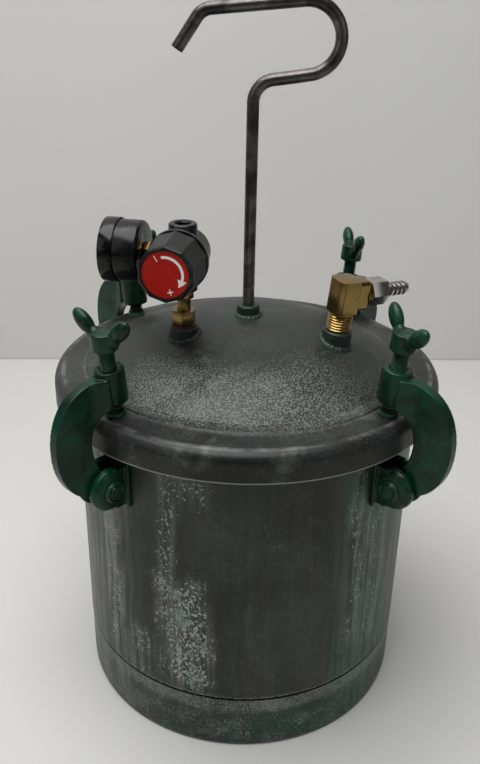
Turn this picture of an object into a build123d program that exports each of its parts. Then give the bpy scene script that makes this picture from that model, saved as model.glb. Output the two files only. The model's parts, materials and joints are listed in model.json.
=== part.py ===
"""Pressure pot: a steel tank with a domed lid that four swinging C-clamps hold down.

The lid carries an air regulator with its gauge, a lifting hook, and a brass outlet elbow with a
hose barb and a dip tube below it. Millimetres, +Z up, origin at the centre of the tank's foot.
An azimuth is measured from -Y towards +X.
"""

from math import cos, radians, sin, tan
import os

from build123d import *

# ---- driving dimensions ------------------------------------------------------------------
# tank
tank_r = 122.5  # outside of the wall
tank_wall = 3.0
seam_z = 45.0  # where the foot ring meets the wall
lip_z = 246.0  # top face of the tank's lip
lip_r = 131.0
dish_z = 15.0  # outside of the bottom dish, at its centre
foot_wall = 2.2
foot_inner_r = 110.0

# lid
lid_wall = 2.5
rim_r = 137.0  # outside of the skirt
skirt_z = 232.4
flange_slope = 6.5  # degrees, falling outwards
flange_r = 130.0  # where the flange starts to turn down into the skirt
rim_corner = (rim_r - flange_r) / (1 - sin(radians(flange_slope)))
flange_z = 252.4  # outside of the flange at flange_r
step_r = 115.2
step_rise = 1.0
dome_r = 107.5
apex_z = 287.0

# clamps
clamp_places = {  # azimuth and rest turn of the wings, in degrees
    "front_left": (-45.0, 96.0),
    "front_right": (45.0, -29.0),
    "rear_right": (137.0, 49.0),
    "rear_left": (-135.0, 35.0),
}
pivot_r, pivot_z = 135.0, 206.0
press_r = 121.8  # where the pad presses on the flange
arm_thick = 8.0
ear_thick = 7.0
ear_r = 15.0
eye_r = 9.5
bracket_base = 2.4
pin_r = 4.0
head_r, head_high = 7.2, 3.0  # the pin's riveted heads
screw_r = 5.0
boss_r = 9.8
boss_low, boss_high = 9.5, 33.0  # along the screw's axis, from the flange
hub_low, hub_high = 45.0, 57.5
hub_r = 8.4
wing_reach, wing_rise = 18.5, 5.5  # centre of a wing's tip, from the axis and above the hub
wing_root_r, wing_tip_r, wing_thick = 4.6, 5.2, 7.0
pad_r, pad_edge, pad_top = 6.2, 3.0, 4.6
swivel_r, neck_r = 5.4, 3.0

# clearances
gap = 0.3  # between bodies that move past each other
fit = 0.06  # round parts that turn in each other
seat = 0.03  # parts fixed in each other

# lid fittings
regulator_at = (50.0, -63.0)  # distance from the axis, azimuth
regulator_z = 337.0  # height of the knob's and the gauge's axes
knob_azimuth = -13.0
gauge_azimuth = knob_azimuth - 90
outlet_at = (64.5, 67.0)
outlet_azimuth = 118.0
outlet_lean, lean_azimuth = 6.0, 60.0
hook_azimuth = 87.0
bung_r = 10.0
bung_top = 287.5
thread_r = 6.5  # quarter-inch pipe thread
spindle_r = 3.0  # adjusting screw inside the knob
cap_at = 29.6  # spring cap, along the knob's axis
knob_back, knob_front = 18.0, 44.5
knob_r, disc_r = 20.4, 15.0
pointer_rest = 135.0  # the dial's zero, lower left
elbow_run = 15.0
hex_long, barb_long = 14.0, 20.5
rod_r = 4.0


def direction(azimuth):
    """Horizontal unit vector at an azimuth."""
    return Vector(sin(radians(azimuth)), -cos(radians(azimuth)), 0)


def side_plane(azimuth):
    """Upright plane through the axis: local x runs outwards, local y runs up."""
    outward = direction(azimuth)
    return Plane(origin=(0, 0, 0), x_dir=outward, z_dir=(outward.Y, -outward.X, 0))


def turned(plane, angle):
    """The plane turned about its own normal."""
    x_dir = plane.x_dir * cos(radians(angle)) + plane.y_dir * sin(radians(angle))
    return Plane(origin=plane.origin, x_dir=x_dir, z_dir=plane.z_dir)


def point_at(distance, azimuth, z):
    return direction(azimuth) * distance + Vector(0, 0, z)


def save(part, name):
    part.label = name
    export_step(part, f"parts/{name}.step")


def flange_height(r):
    """Outside of the lid's outer flange at a radius."""
    return flange_z + (flange_r - r) * tan(radians(flange_slope))


os.makedirs("parts", exist_ok=True)

# ---- tank --------------------------------------------------------------------------------
foot_r = tank_r - 0.3
joggle_r = foot_r - foot_wall - seat  # the wall steps in here, inside the foot ring
with BuildPart() as tank_shell:
    with BuildSketch(Plane.XZ) as profile:
        with BuildLine():
            with BuildLine() as outside:
                dish = ThreePointArc((0, dish_z), (62, dish_z + 3.6), (104, dish_z + 10.5))
                knuckle = TangentArc(dish @ 1, (joggle_r, seam_z - 8), tangent=dish % 1)
                recess = Line(knuckle @ 1, (joggle_r, seam_z))
                joggle = Line(recess @ 1, (tank_r, seam_z + 1.2))
                bend_r = 2.5
                wall = Line(joggle @ 1, (tank_r, lip_z - tank_wall - bend_r))
                roll = JernArc(wall @ 1, wall % 1, radius=bend_r, arc_size=-90)
                Line(roll @ 1, (lip_r, lip_z - tank_wall))
                offset(amount=tank_wall, side=Side.LEFT)
        make_face()
    revolve(axis=Axis.Z)
save(tank_shell.part, "tank_shell")

with BuildPart() as foot_ring:
    foot_corner = 4.0
    with BuildSketch(Plane.XZ):
        with BuildLine():
            base = Line((foot_inner_r, 0), (foot_r - foot_corner, 0))
            corner = JernArc(base @ 1, base % 1, radius=foot_corner, arc_size=90)
            Line(corner @ 1, (foot_r, seam_z - 0.6))
            offset(amount=foot_wall, side=Side.LEFT)
        make_face()
    revolve(axis=Axis.Z)
save(foot_ring.part, "foot_ring")

for place, (azimuth, wing_turn) in clamp_places.items():
    upright = side_plane(azimuth)
    with BuildPart() as bracket:
        for side in (-1, 1):
            inner_face = side * (arm_thick / 2 + gap)
            with BuildSketch(upright.offset(inner_face)):
                with Locations((pivot_r, pivot_z)):
                    Circle(ear_r)
                with Locations(((tank_r + pivot_r) / 2, pivot_z)):
                    Rectangle(pivot_r - tank_r + 2, 2 * ear_r)
            extrude(amount=side * ear_thick)
        with BuildSketch(upright):
            with Locations((tank_r + bracket_base / 2 - 0.5, pivot_z)):
                Rectangle(bracket_base + 1, 2 * ear_r + 7)
        extrude(amount=arm_thick / 2 + gap + ear_thick + 2, both=True)
        Cylinder(tank_r + seat, 500, mode=Mode.SUBTRACT)
        with BuildSketch(upright):
            with Locations((pivot_r, pivot_z)):
                Circle(pin_r + seat)
        extrude(amount=40, both=True, mode=Mode.SUBTRACT)
    save(bracket.part, f"bracket_{place}")

    with BuildPart() as pin:
        half = arm_thick / 2 + gap + ear_thick
        with BuildSketch(upright):
            with Locations((pivot_r, pivot_z)):
                Circle(pin_r)
        extrude(amount=half + 2, both=True)
        for side in (-1, 1):
            with BuildSketch(upright.offset(side * (half + seat))):
                with Locations((pivot_r, pivot_z)):
                    Circle(head_r)
            extrude(amount=side * head_high)
        rings = pin.edges().filter_by(GeomType.CIRCLE)
        chamfer(rings.group_by(lambda e: abs(upright.to_local_coords(e.center()).Z))[-1], 1.2)
    save(pin.part, f"pivot_pin_{place}")

    press_at = direction(azimuth) * press_r + Vector(0, 0, flange_height(press_r))
    lean = radians(flange_slope)
    press = Plane(origin=press_at, x_dir=direction(azimuth) * cos(lean) - Vector(0, 0, sin(lean)),
                  z_dir=direction(azimuth) * sin(lean) + Vector(0, 0, cos(lean)))

    with BuildPart() as arm:
        with BuildSketch(upright):
            with BuildLine():
                back = Spline((127, 282.2), (139, 282.2), (150, 279.2), (159, 273.2), (165.3, 265),
                              (168.8, 254), (170, 242), (168.3, 228), (163.8, 217), (156, 207.4),
                              (149, 202.2), (141.5, 199.2))
                throat = Spline((127, 263.8), (131.8, 261.6), (136.4, 257.8), (140.4, 252.8), (142.8, 247),
                                (143.8, 240), (143, 232), (139.6, 223.2), (132.6, 214.6))
                Line(back @ 0, throat @ 0)
                Line(back @ 1, throat @ 1)
            make_face()
            with Locations((pivot_r, pivot_z)):
                Circle(eye_r)
        extrude(amount=arm_thick / 2, both=True)
        with BuildSketch(press.offset(boss_low)):
            Circle(boss_r)
        extrude(amount=boss_high - boss_low)
        with BuildSketch(press.offset(boss_low - 2)):
            Circle(screw_r + fit)
        extrude(amount=boss_high - boss_low + 4, mode=Mode.SUBTRACT)
        with BuildSketch(upright):
            with Locations((pivot_r, pivot_z)):
                Circle(pin_r + fit)
        extrude(amount=20, both=True, mode=Mode.SUBTRACT)
    save(arm.part, f"clamp_arm_{place}")

    with BuildPart() as pad:
        with BuildSketch(press.offset(gap)):
            Circle(pad_r)
        extrude(amount=pad_edge)
        with BuildSketch(press.offset(gap)):
            Circle(swivel_r)
        extrude(amount=pad_top - gap)
        with BuildSketch(press.offset(1.6)):
            Circle(neck_r + fit)
        extrude(amount=pad_top, mode=Mode.SUBTRACT)
    save(pad.part, f"pressure_pad_{place}")

    wings = turned(press, wing_turn)
    with BuildPart() as screw:
        with BuildSketch(press.offset(1.9)):
            Circle(neck_r)
        extrude(amount=pad_top)
        with BuildSketch(press.offset(pad_top + gap)):
            Circle(screw_r)
        extrude(amount=hub_low - pad_top)
        with BuildSketch(press.offset(hub_low)):
            Circle(hub_r)
        extrude(amount=hub_high - hub_low)
        for side in (-1, 1):
            with BuildSketch(Plane(origin=wings.origin, x_dir=wings.x_dir * side, z_dir=-wings.y_dir * side)):
                with Locations((hub_r - wing_root_r, hub_low + 5.5)):
                    Circle(wing_root_r)
                with Locations((wing_reach, hub_high + wing_rise)):
                    Circle(wing_tip_r)
                make_hull()
            extrude(amount=wing_thick / 2, both=True)
    save(screw.part, f"wing_screw_{place}")

# ---- lid ---------------------------------------------------------------------------------
dome_z = apex_z - 30.5  # where the dome meets the rim
dome_sphere = (dome_r**2 + 30.5**2) / 61


def dome_height(r):
    """Outside of the dome at a radius."""
    return apex_z - dome_sphere + (dome_sphere**2 - r**2) ** 0.5


regulator_spot = point_at(*regulator_at, dome_height(regulator_at[0]))
outlet_spot = point_at(*outlet_at, dome_height(outlet_at[0]))
outlet_up = direction(lean_azimuth) * sin(radians(outlet_lean)) + Vector(0, 0, cos(radians(outlet_lean)))
outlet_run = direction(outlet_azimuth)
outlet_run = (outlet_run - outlet_up * outlet_run.dot(outlet_up)).normalized()
hook_port = Plane((0, 0, apex_z))
regulator_port = Plane(regulator_spot)
outlet_port = Plane(origin=outlet_spot, x_dir=outlet_run, z_dir=outlet_up)

with BuildPart() as lid_shell:
    with BuildSketch(Plane.XZ):
        with BuildLine():
            dome = ThreePointArc((0, apex_z), (60, dome_height(60)), (dome_r, dome_z))
            foot_of_dome = Line(dome @ 1, (step_r - 1.2, flange_height(step_r) + step_rise))
            step = Line(foot_of_dome @ 1, (step_r, flange_height(step_r)))
            flange = Line(step @ 1, (flange_r, flange_z))
            turn = JernArc(flange @ 1, flange % 1, radius=rim_corner, arc_size=-(90 - flange_slope))
            Line(turn @ 1, ((turn @ 1).X, skirt_z))
            offset(amount=-lid_wall, side=Side.RIGHT)
        make_face()
    revolve(axis=Axis.Z)
    for port, hole in ((hook_port, 8.0), (regulator_port, bung_r), (outlet_port, bung_r)):
        with BuildSketch(port.offset(-15)):
            Circle(hole + seat)
        extrude(amount=40, mode=Mode.SUBTRACT)
save(lid_shell.part, "lid_shell")

with BuildPart() as lid_gasket:
    with BuildSketch(Plane.XZ):
        under = [(r, flange_height(r) - lid_wall / cos(radians(flange_slope)) - seat) for r in (121, 130)]
        Polygon((121, lip_z + gap), (130, lip_z + gap), under[1], under[0], align=None)
    revolve(axis=Axis.Z)
save(lid_gasket.part, "lid_gasket")

for name, port, outer, low, high, bore in (
    ("hook_bung", hook_port, 8.0, -6, 7.5, rod_r + seat),
    ("regulator_bung", regulator_port, bung_r, -6, bung_top - regulator_spot.Z, thread_r + seat),
    ("outlet_bung", outlet_port, bung_r, -6, 9.5, thread_r + seat),
):
    with BuildPart() as bung:
        with BuildSketch(port.offset(low)):
            Circle(outer)
        extrude(amount=high - low)
        chamfer(bung.faces().sort_by(Axis.Z)[-1].edges(), 0.8)
        with BuildSketch(port.offset(low)):
            Circle(bore)
        extrude(amount=high - low, mode=Mode.SUBTRACT)
    save(bung.part, name)

hook_plane = side_plane(hook_azimuth)
with BuildPart() as lifting_hook:
    with BuildLine(hook_plane) as path:
        rise = Line((0, apex_z - 4), (0, 429.5))
        elbow_bend = JernArc(rise @ 1, rise % 1, radius=14, arc_size=-82.5)
        lower_run = JernArc(elbow_bend @ 1, elbow_bend % 1, radius=900, arc_size=1.5)
        return_bend = JernArc(lower_run @ 1, lower_run % 1, radius=21.3, arc_size=176.5)
        upper_run = Line(return_bend @ 1, return_bend @ 1 + (return_bend % 1) * 57)
        tip_bend = JernArc(upper_run @ 1, upper_run % 1, radius=12, arc_size=50)
        Line(tip_bend @ 1, tip_bend @ 1 + (tip_bend % 1) * 22)
    with BuildSketch(Plane((0, 0, apex_z - 4))):
        Circle(rod_r)
    sweep()
save(lifting_hook.part, "lifting_hook")

# ---- regulator ---------------------------------------------------------------------------
stem_x, stem_y = regulator_spot.X, regulator_spot.Y
hub = Vector(stem_x, stem_y, regulator_z)
knob_axis = Plane(origin=hub, x_dir=(0, 0, 1), z_dir=direction(knob_azimuth))
gauge_axis = Plane(origin=hub, x_dir=(0, 0, 1), z_dir=direction(gauge_azimuth))
body_r = 16.0
body_back, body_front = -13.0, 11.0  # along the knob's axis
port_top = 358.0
port_r = 9.35
port_bore = 5.9
chamber_r = 12.5
nipple_hex = 307.0
outlet_foot = nipple_hex + 6.3  # underside of the regulator's own outlet boss
boss_end = 18.0  # the gauge's boss, along the gauge's axis
stem_r = 4.8


def level(z):
    """Flat plane on the regulator's upright axis."""
    return Plane((stem_x, stem_y, z))


with BuildPart() as inlet_nipple:
    with BuildSketch(level(bung_top - 9)):
        Circle(thread_r)
    extrude(amount=9)
    with BuildSketch(level(bung_top)):
        Circle(6.0)
    extrude(amount=11.5)
    with BuildSketch(level(bung_top + 11)):
        Circle(4.7)
    extrude(amount=9)
    with BuildSketch(level(nipple_hex)):
        RegularPolygon(5.8 / cos(radians(30)), 6)
    extrude(amount=6)
    with BuildSketch(level(nipple_hex + 5)):
        Circle(5.0)
    extrude(amount=9)
    with BuildSketch(level(270)):
        Circle(2.8)
    extrude(amount=60, mode=Mode.SUBTRACT)
save(inlet_nipple.part, "inlet_nipple")

with BuildPart() as union_nut:
    with BuildSketch(level(bung_top + 1.6)):
        RegularPolygon(7.0 / cos(radians(30)), 6, rotation=20)
        Circle(6.0 + seat, mode=Mode.SUBTRACT)
    extrude(amount=9.8)
save(union_nut.part, "union_nut")

with BuildPart() as seal_washer:
    with BuildSketch(level(bung_top + seat)):
        Circle(8.6)
        Circle(6.0 + seat, mode=Mode.SUBTRACT)
    extrude(amount=1.5)
save(seal_washer.part, "seal_washer")

with BuildPart() as regulator_body:
    with BuildSketch(knob_axis.offset(body_back)):
        Circle(body_r)
    extrude(amount=body_front - body_back)
    chamfer(regulator_body.faces().sort_by(lambda f: knob_axis.to_local_coords(f.center()).Z)[0].edges(), 2.5)
    with BuildSketch(level(outlet_foot)):
        Circle(port_r)
    extrude(amount=port_top - outlet_foot)
    chamfer(regulator_body.faces().sort_by(Axis.Z)[-1].edges(), 0.8)
    with BuildSketch(gauge_axis):
        Circle(8.0)
    extrude(amount=boss_end)
    # diaphragm chamber, valve chamber and seat
    with BuildSketch(knob_axis.offset(6)):
        Circle(chamber_r)
    extrude(amount=20, mode=Mode.SUBTRACT)
    with BuildSketch(knob_axis.offset(-11)):
        Circle(5.2)
    extrude(amount=13, mode=Mode.SUBTRACT)
    with BuildSketch(knob_axis):
        Circle(2.2)
    extrude(amount=8, mode=Mode.SUBTRACT)
    # supply port down to the valve chamber, and the way out below
    with BuildSketch(level(port_top - 12)):
        Circle(port_bore)
    extrude(amount=14, mode=Mode.SUBTRACT)
    with BuildSketch(Plane(hub - direction(knob_azimuth) * 5)):
        Circle(2.0)
    extrude(amount=20, mode=Mode.SUBTRACT)
    with BuildSketch(level(outlet_foot - 2)):
        Circle(5.0 + seat)
    extrude(amount=10, mode=Mode.SUBTRACT)
    with BuildSketch(level(outlet_foot)):
        Circle(2.0)
    extrude(amount=12, mode=Mode.SUBTRACT)
    with BuildSketch(Plane(origin=(stem_x, stem_y, outlet_foot + 12), z_dir=direction(knob_azimuth))):
        Circle(1.8)
    extrude(amount=8, mode=Mode.SUBTRACT)
    with BuildSketch(gauge_axis.offset(boss_end - 9)):
        Circle(stem_r + seat)
    extrude(amount=12, mode=Mode.SUBTRACT)
    with BuildSketch(gauge_axis.offset(4)):
        Circle(1.5)
    extrude(amount=8, mode=Mode.SUBTRACT)
save(regulator_body.part, "regulator_body")

with BuildPart() as valve_poppet:
    with BuildSketch(knob_axis.offset(-3.4)):
        Circle(3.8)
    extrude(amount=3.0)
    with BuildSketch(knob_axis.offset(-0.6)):
        Circle(1.2)
    extrude(amount=11.0)
save(valve_poppet.part, "valve_poppet")

with BuildPart() as poppet_spring:
    with BuildLine() as coil:
        Helix(pitch=1.6, height=6.0, radius=2.9, center=knob_axis.offset(-10.3).origin,
              direction=knob_axis.z_dir)
    with BuildSketch(Plane(origin=coil.line @ 0, z_dir=coil.line % 0)):
        Circle(0.35)
    sweep(is_frenet=True)
save(poppet_spring.part, "poppet_spring")

with BuildPart() as diaphragm:
    with BuildSketch(knob_axis.offset(body_front + seat)):
        Circle(15.0)
    extrude(amount=1.0)
    with BuildSketch(knob_axis.offset(body_front - 0.5)):
        Circle(6.0)
    extrude(amount=3.2)
save(diaphragm.part, "diaphragm")

with BuildPart() as bonnet:
    with BuildSketch(knob_axis.offset(body_front + 1.1)):
        Circle(20.4)
    extrude(amount=4.2)
    with BuildSketch(knob_axis.offset(body_front + 1.1)):
        Circle(14.2)
    extrude(amount=25.4)
    with BuildSketch(knob_axis.offset(body_front + 1.0)):
        Circle(11.8)
    extrude(amount=23.6, mode=Mode.SUBTRACT)
    with BuildSketch(knob_axis.offset(body_front)):
        Circle(spindle_r + fit)
    extrude(amount=40, mode=Mode.SUBTRACT)
save(bonnet.part, "bonnet")

with BuildPart() as range_spring:
    with BuildLine() as coil:
        Helix(pitch=2.9, height=13.2, radius=8.2, center=knob_axis.offset(15.2).origin,
              direction=knob_axis.z_dir)
    with BuildSketch(Plane(origin=coil.line @ 0, z_dir=coil.line % 0)):
        Circle(0.8)
    sweep(is_frenet=True)
save(range_spring.part, "range_spring")

with BuildPart() as spring_cap:
    with BuildSketch(knob_axis.offset(cap_at)):
        Circle(11.5)
    extrude(amount=3.0)
    with BuildSketch(knob_axis.offset(cap_at - 1)):
        Circle(spindle_r + fit)
    extrude(amount=6, mode=Mode.SUBTRACT)
save(spring_cap.part, "spring_cap")

with BuildPart() as knob:
    with BuildSketch(knob_axis.offset(knob_back)):
        RegularPolygon(knob_r, 10)
    extrude(amount=knob_front - knob_back, taper=4.5)
    chamfer(knob.faces().sort_by(lambda f: knob_axis.to_local_coords(f.center()).Z)[-1].edges(), 1.0)
    with BuildSketch(knob_axis.offset(knob_front)):
        Circle(disc_r + seat)
    extrude(amount=-2.2, mode=Mode.SUBTRACT)
    with BuildSketch(knob_axis.offset(knob_back - 1)):
        Circle(14.2 + gap)
    extrude(amount=21.0, mode=Mode.SUBTRACT)
    with BuildSketch(knob_axis.offset(knob_back + 19)):
        Circle(spindle_r + seat)
    extrude(amount=4.0, mode=Mode.SUBTRACT)
save(knob.part, "knob")

with BuildPart() as knob_disc:
    with BuildSketch(knob_axis.offset(knob_front - 2.17)):
        Circle(disc_r)
    extrude(amount=1.7)
save(knob_disc.part, "knob_disc")

with BuildPart() as adjusting_screw:
    with BuildSketch(knob_axis.offset(20.5)):
        Circle(spindle_r)
    extrude(amount=knob_back + 22.9 - 20.5)
save(adjusting_screw.part, "adjusting_screw")

# ---- gauge -------------------------------------------------------------------------------
case_back, case_front = 26.3, 52.0
case_r, bezel_r = 20.4, 21.4

with BuildPart() as gauge_stem:
    with BuildSketch(gauge_axis.offset(boss_end - 8)):
        Circle(stem_r)
    extrude(amount=case_back + 2.5 - boss_end + 8)
    with BuildSketch(gauge_axis.offset(boss_end + gap)):
        RegularPolygon(6.0 / cos(radians(30)), 6)
    extrude(amount=case_back - boss_end - 2 * gap)
    with BuildSketch(gauge_axis.offset(boss_end - 9)):
        Circle(1.5)
    extrude(amount=30, mode=Mode.SUBTRACT)
save(gauge_stem.part, "gauge_stem")

with BuildPart() as gauge_case:
    with BuildSketch(gauge_axis.offset(case_back)):
        Circle(case_r)
    extrude(amount=case_front - 4 - case_back)
    chamfer(gauge_case.faces().sort_by(lambda f: gauge_axis.to_local_coords(f.center()).Z)[0].edges(), 1.5)
    with BuildSketch(gauge_axis.offset(case_back + 2)):
        Circle(case_r - 1.6)
    extrude(amount=40, mode=Mode.SUBTRACT)
    with BuildSketch(gauge_axis.offset(case_back - 1)):
        Circle(stem_r + seat)
    extrude(amount=6, mode=Mode.SUBTRACT)
save(gauge_case.part, "gauge_case")

with BuildPart() as gauge_bezel:
    with BuildSketch(gauge_axis.offset(case_front - 9.5)):
        Circle(bezel_r)
        Circle(case_r + seat, mode=Mode.SUBTRACT)
    extrude(amount=9.5)
    with BuildSketch(gauge_axis.offset(case_front - 1)):
        Circle(bezel_r)
        Circle(18.6, mode=Mode.SUBTRACT)
    extrude(amount=1.0)
save(gauge_bezel.part, "gauge_bezel")

with BuildPart() as gauge_lens:
    with BuildSketch(gauge_axis.offset(case_front - 2.8)):
        Circle(case_r - 0.1)
    extrude(amount=1.7)
save(gauge_lens.part, "gauge_lens")

with BuildPart() as gauge_dial:
    with BuildSketch(gauge_axis.offset(case_front - 8.0)):
        Circle(case_r - 1.7)
        Circle(1.0 + fit, mode=Mode.SUBTRACT)
    extrude(amount=0.8)
save(gauge_dial.part, "gauge_dial")

with BuildPart() as gauge_pointer:
    with BuildSketch(gauge_axis.offset(case_front - 12)):
        Circle(1.0)
    extrude(amount=5.6)
    with BuildSketch(gauge_axis.offset(case_front - 6.8)):
        Circle(2.6)
    extrude(amount=1.6)
    with BuildSketch(turned(gauge_axis.offset(case_front - 6.4), pointer_rest)):
        Polygon((0, -1.3), (15, -0.4), (15, 0.4), (0, 1.3), align=None)
        Polygon((0, -1.0), (0, 1.0), (-6, 1.6), (-6, -1.6), align=None)
    extrude(amount=0.8)
save(gauge_pointer.part, "gauge_pointer")

# ---- outlet ------------------------------------------------------------------------------
run_z = 34.8  # height of the outlet's run above the dome, along the bung
block_low, block_high = 23.0, 46.4
run = Plane(origin=outlet_port.offset(run_z).origin, x_dir=outlet_port.z_dir, z_dir=outlet_run)

with BuildPart() as outlet_elbow:
    with BuildSketch(outlet_port.offset(0)):
        Circle(thread_r)
    extrude(amount=block_low)
    with BuildSketch(outlet_port.offset(block_low)):
        RectangleRounded(17, 17, 4)
    extrude(amount=block_high - block_low)
    with BuildSketch(run):
        RectangleRounded(21, 15, 3)
    extrude(amount=elbow_run)
    with BuildSketch(run):
        Circle(4.0)
    extrude(amount=40, mode=Mode.SUBTRACT)
    with BuildSketch(outlet_port.offset(-1)):
        Circle(4.0)
    extrude(amount=run_z + 1, mode=Mode.SUBTRACT)
save(outlet_elbow.part, "outlet_elbow")

with BuildPart() as outlet_collar:
    with BuildSketch(run.offset(elbow_run + seat)):
        Circle(8.6)
        Circle(5.0 + seat, mode=Mode.SUBTRACT)
    extrude(amount=3.6)
save(outlet_collar.part, "outlet_collar")

with BuildPart() as hose_barb:
    hex_at = elbow_run + 3.7
    with BuildSketch(run.offset(elbow_run + 0.1)):
        Circle(5.0)
    extrude(amount=6)
    with BuildSketch(run.offset(hex_at)):
        RegularPolygon(8.4 / cos(radians(30)), 6)
    extrude(amount=hex_long)
    with BuildSketch(run.offset(hex_at + hex_long)):
        Circle(4.0)
    extrude(amount=barb_long)
    for ridge in range(5):
        with BuildSketch(run.offset(hex_at + hex_long + barb_long - 3.9 * ridge)):
            Circle(4.0)
        extrude(amount=-3.0, taper=-17)
    with BuildSketch(run.offset(elbow_run)):
        Circle(2.4)
    extrude(amount=80, mode=Mode.SUBTRACT)
save(hose_barb.part, "hose_barb")

with BuildPart() as dip_tube:
    with BuildSketch(outlet_port.offset(-0.1)):
        Circle(5.0)
        Circle(4.0, mode=Mode.SUBTRACT)
    extrude(amount=-248)
save(dip_tube.part, "dip_tube")
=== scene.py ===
import json
import math

import bmesh
import bpy
from mathutils import Matrix, Vector


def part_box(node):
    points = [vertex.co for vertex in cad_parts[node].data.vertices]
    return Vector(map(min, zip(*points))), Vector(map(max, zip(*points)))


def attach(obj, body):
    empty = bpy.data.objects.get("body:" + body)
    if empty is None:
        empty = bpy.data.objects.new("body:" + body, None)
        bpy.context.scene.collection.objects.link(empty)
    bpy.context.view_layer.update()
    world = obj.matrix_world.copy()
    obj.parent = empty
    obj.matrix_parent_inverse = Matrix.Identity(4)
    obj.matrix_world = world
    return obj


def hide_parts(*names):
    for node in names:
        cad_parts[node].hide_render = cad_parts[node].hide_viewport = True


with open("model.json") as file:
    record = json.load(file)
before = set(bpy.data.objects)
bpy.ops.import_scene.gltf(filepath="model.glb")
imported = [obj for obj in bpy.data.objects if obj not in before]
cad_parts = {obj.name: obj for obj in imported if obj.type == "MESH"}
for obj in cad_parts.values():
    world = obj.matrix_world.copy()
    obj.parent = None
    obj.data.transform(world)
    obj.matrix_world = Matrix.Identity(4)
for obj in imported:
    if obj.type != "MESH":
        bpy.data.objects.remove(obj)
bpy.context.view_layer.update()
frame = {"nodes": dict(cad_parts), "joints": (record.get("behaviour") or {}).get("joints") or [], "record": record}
record = frame["record"]
joints = {joint["name"]: joint for joint in frame["joints"]}
mounts = {mount["name"]: mount for mount in record["mounts"]}
places = ["front_left", "front_right", "rear_right", "rear_left"]
mm = 0.001
print("frame loaded")


# shader maths

class Value:
    # a shader output that takes part in sums
    def __init__(self, graph, socket):
        self.graph = graph
        self.socket = socket

    def __add__(self, other):
        return self.graph.maths("ADD", self, other)

    __radd__ = __add__

    def __sub__(self, other):
        return self.graph.maths("SUBTRACT", self, other)

    def __rsub__(self, other):
        return self.graph.maths("SUBTRACT", other, self)

    def __mul__(self, other):
        return self.graph.maths("MULTIPLY", self, other)

    __rmul__ = __mul__

    def __truediv__(self, other):
        return self.graph.maths("DIVIDE", self, other)

    def __pow__(self, other):
        return self.graph.maths("POWER", self, other)

    def __neg__(self):
        return self * -1

    def __abs__(self):
        return self.graph.maths("ABSOLUTE", self)


class Graph:
    def __init__(self, name):
        self.material = bpy.data.materials.new(name)
        self.material.use_nodes = True
        self.tree = self.material.node_tree
        self.tree.nodes.clear()
        self.place = self.node("TexCoord", out="Object")
        self.parts = None

    def node(self, kind, settings=None, sockets=None, out=0):
        made = self.tree.nodes.new("ShaderNode" + kind)
        for key, setting in (settings or {}).items():
            if key == "stops":
                self.fillRamp(made.color_ramp, setting)
            else:
                setattr(made, key, setting)
        for key, given in (sockets or {}).items():
            if isinstance(given, Value):
                self.tree.links.new(given.socket, made.inputs[key])
            else:
                made.inputs[key].default_value = given
        return Value(self, made.outputs[out])

    def fillRamp(self, ramp, stops):
        while len(ramp.elements) < len(stops):
            ramp.elements.new(1.0)
        for element, (position, colour) in zip(ramp.elements, stops):
            element.position = position
            element.color = (*colour, 1.0) if len(colour) == 3 else colour

    def maths(self, operation, first, second=0.0):
        sockets = {0: first, 1: second}
        return self.node("Math", {"operation": operation}, sockets)

    def dot(self, direction):
        # how far the point lies along a direction
        sockets = {0: self.place, 1: tuple(direction)}
        return self.node("VectorMath", {"operation": "DOT_PRODUCT"}, sockets, "Value")

    def axes(self):
        # the three object coordinates as numbers
        if self.parts is None:
            split = self.tree.nodes.new("ShaderNodeSeparateXYZ")
            self.tree.links.new(self.place.socket, split.inputs[0])
            self.parts = [Value(self, output) for output in split.outputs]
        return self.parts

    def smooth(self, given, low, high):
        # 0 below low, 1 above high, eased between
        return self.node("MapRange", {"interpolation_type": "SMOOTHSTEP"},
                         {"Value": given, "From Min": low, "From Max": high})

    def noise(self, scale, detail=3.0, rough=0.5, stretch=None, warp=0.0, shift=(0, 0, 0)):
        where = self.place
        if stretch or any(shift):
            where = self.node("Mapping", None, {"Vector": where, "Scale": stretch or (1, 1, 1),
                                                "Location": shift})
        return self.node("TexNoise", None, {"Vector": where, "Scale": scale, "Detail": detail,
                                            "Roughness": rough, "Distortion": warp})

    def blend(self, factor, first, second):
        # colours mixed by a factor
        first, second = [(*c, 1.0) if isinstance(c, tuple) and len(c) == 3 else c for c in (first, second)]
        return self.node("Mix", {"data_type": "RGBA"}, {0: factor, 6: first, 7: second}, out=2)

    def bump(self, height, depth, strength=1.0, under=None):
        sockets = {"Height": height, "Distance": depth, "Strength": strength}
        if under:
            sockets["Normal"] = under
        return self.node("Bump", None, sockets)

    def finish(self, **sockets):
        names = {key.replace("_", " "): given for key, given in sockets.items()}
        for key, given in names.items():
            if isinstance(given, tuple) and len(given) == 3:
                names[key] = (*given, 1.0)
        shader = self.node("BsdfPrincipled", None, names)
        output = self.tree.nodes.new("ShaderNodeOutputMaterial")
        self.tree.links.new(shader.socket, output.inputs["Surface"])
        return self.material


# materials

tankLook = {"bare": (0.013, 0.015, 0.014), "grey": (0.042, 0.046, 0.043), "green": (0.010, 0.030, 0.022),
            "chalk": (0.37, 0.40, 0.36), "greenChalk": (0.10, 0.19, 0.145), "rust": (0.030, 0.021, 0.015),
            "seam": (0.004, 0.004, 0.004), "footGreen": (0.012, 0.045, 0.028)}
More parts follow.
